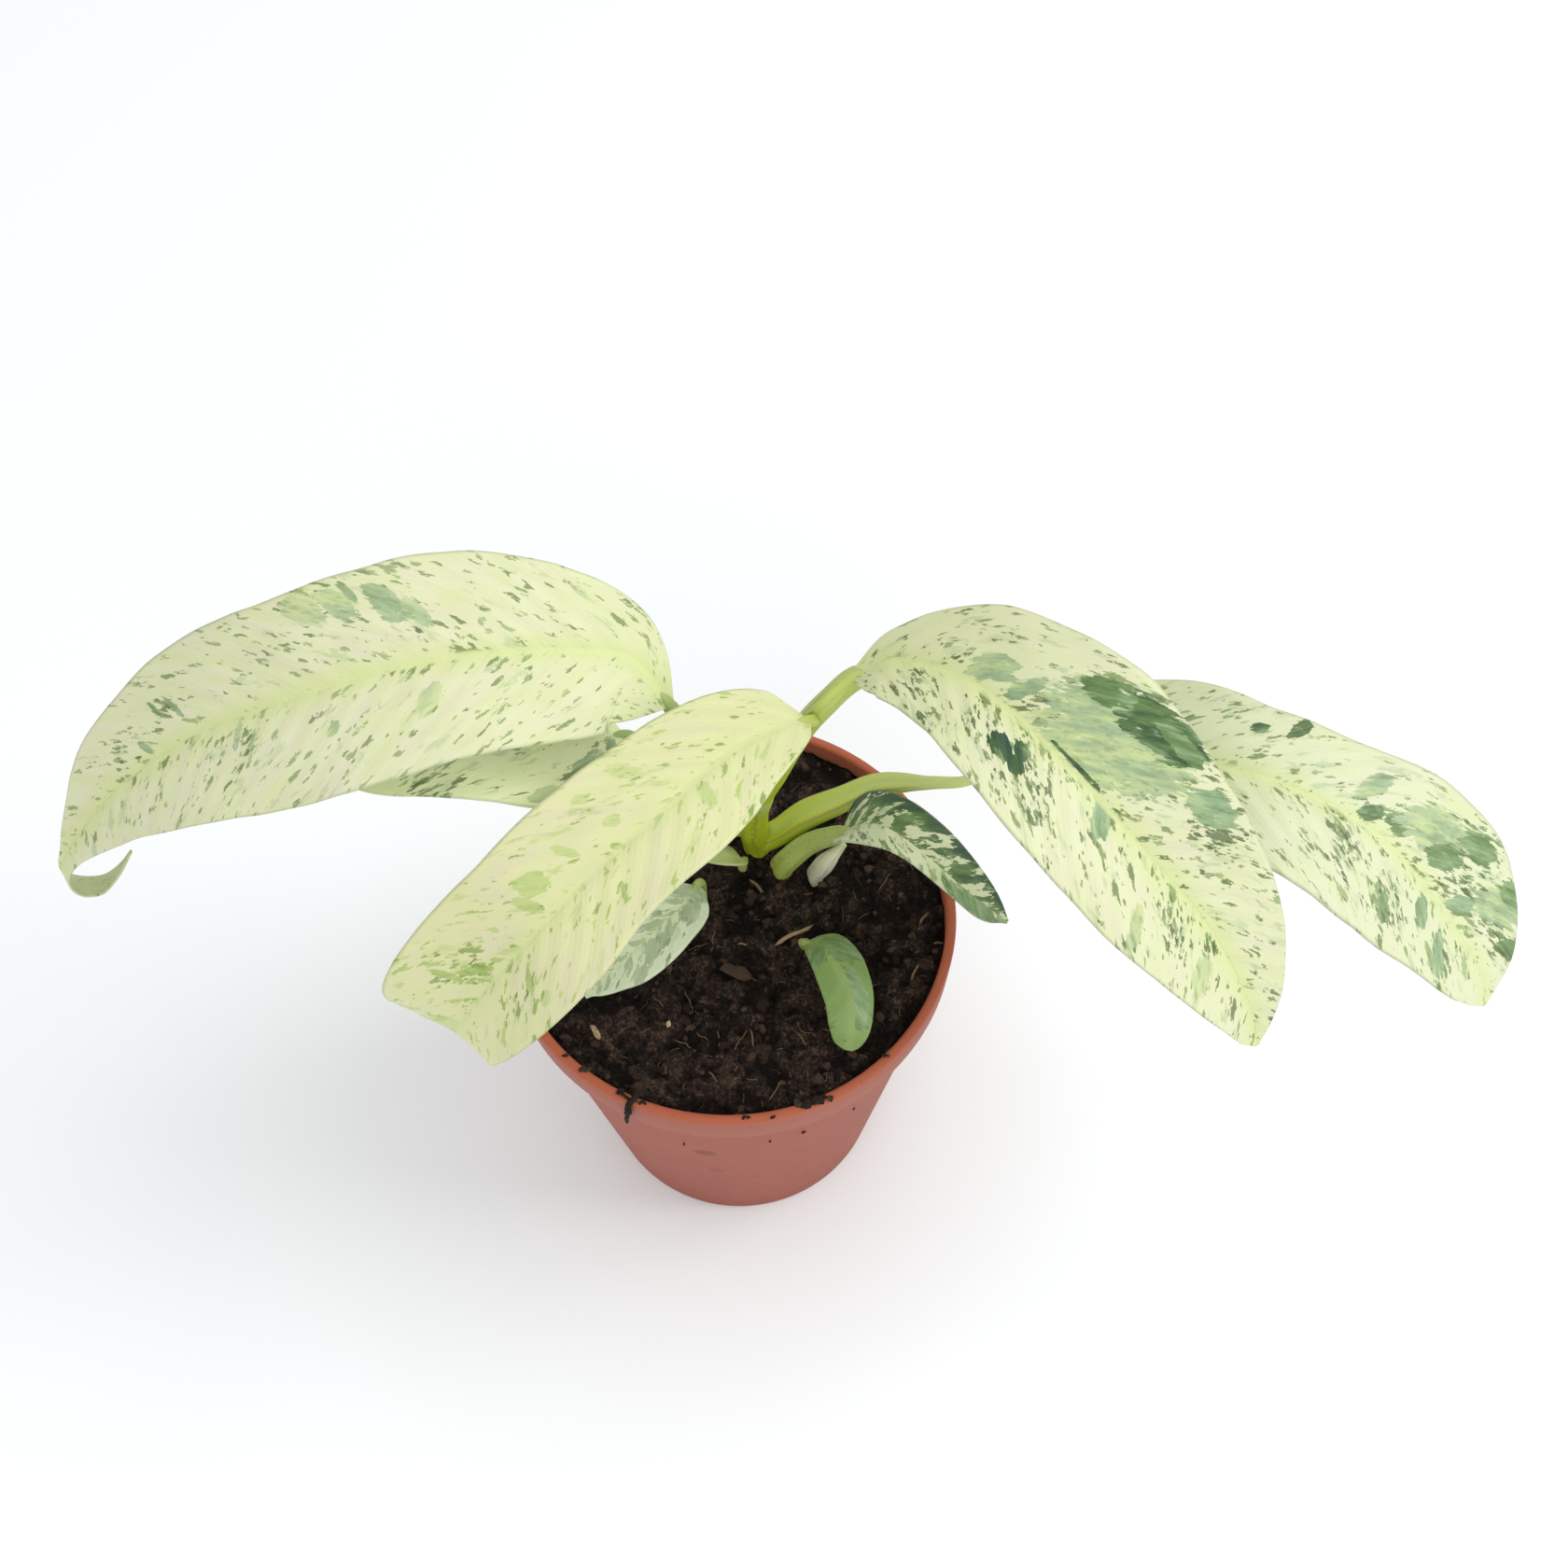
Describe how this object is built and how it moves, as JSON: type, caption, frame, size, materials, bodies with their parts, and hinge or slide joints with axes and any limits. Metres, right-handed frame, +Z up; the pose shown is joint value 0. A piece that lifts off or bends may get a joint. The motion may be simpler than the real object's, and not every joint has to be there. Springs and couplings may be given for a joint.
{
  "type": "potted climbing aroid",
  "caption": "Young climbing plant with large arching cream and green speckled leaves on lime green stalks, growing from peat in a round tapered plastic nursery pot.",
  "frame": {"origin": "centre of the pot's base, on the surface that it stands on", "axes": "+Z up along the pot's axis; the plant's front faces -Y, and its large leaves reach out along -X and +X"},
  "size_m": [0.3532, 0.1203, 0.2153],
  "materials": {
    "terracotta": "dusty matt, terracotta coloured",
    "peat": "damp, lumpy and fibrous",
    "lime_stem": "smooth, lime green, faintly ribbed",
    "pale_sheath": "thin, dry and pale",
    "leaf_upper_left": "waxy, cream with green speckles",
    "leaf_under_left": "waxy, grey-green with dark dashes",
    "leaf_front": "waxy, pale yellow-green, faintly speckled",
    "leaf_right": "waxy, cream with dark green patches and speckles",
    "leaf_far_right": "waxy, cream with green patches",
    "leaf_folded": "waxy, dark green with whitish marks",
    "leaf_low_left": "waxy, blue-green with a whitish margin",
    "leaf_on_soil": "waxy, plain mid green",
    "leaf_sprout": "waxy, pale green"
  },
  "bodies": {
    "root": {"pot": "terracotta", "soil": "peat", "stem": "lime_stem", "stalk_right": "lime_stem", "stalk_far_right": "lime_stem", "stalk_upper_left": "lime_stem", "stalk_under_left": "lime_stem", "stalk_front": "lime_stem", "stalk_folded": "lime_stem", "stalk_low_left": "lime_stem", "stalk_on_soil": "lime_stem", "stalk_sprout": "lime_stem", "sheath_pale": "pale_sheath", "leaf_upper_left": "leaf_upper_left", "leaf_under_left": "leaf_under_left", "leaf_front": "leaf_front", "leaf_right": "leaf_right", "leaf_far_right": "leaf_far_right", "leaf_folded": "leaf_folded", "leaf_low_left": "leaf_low_left", "leaf_on_soil": "leaf_on_soil", "leaf_sprout": "leaf_sprout"}
  },
  "joints": []
}
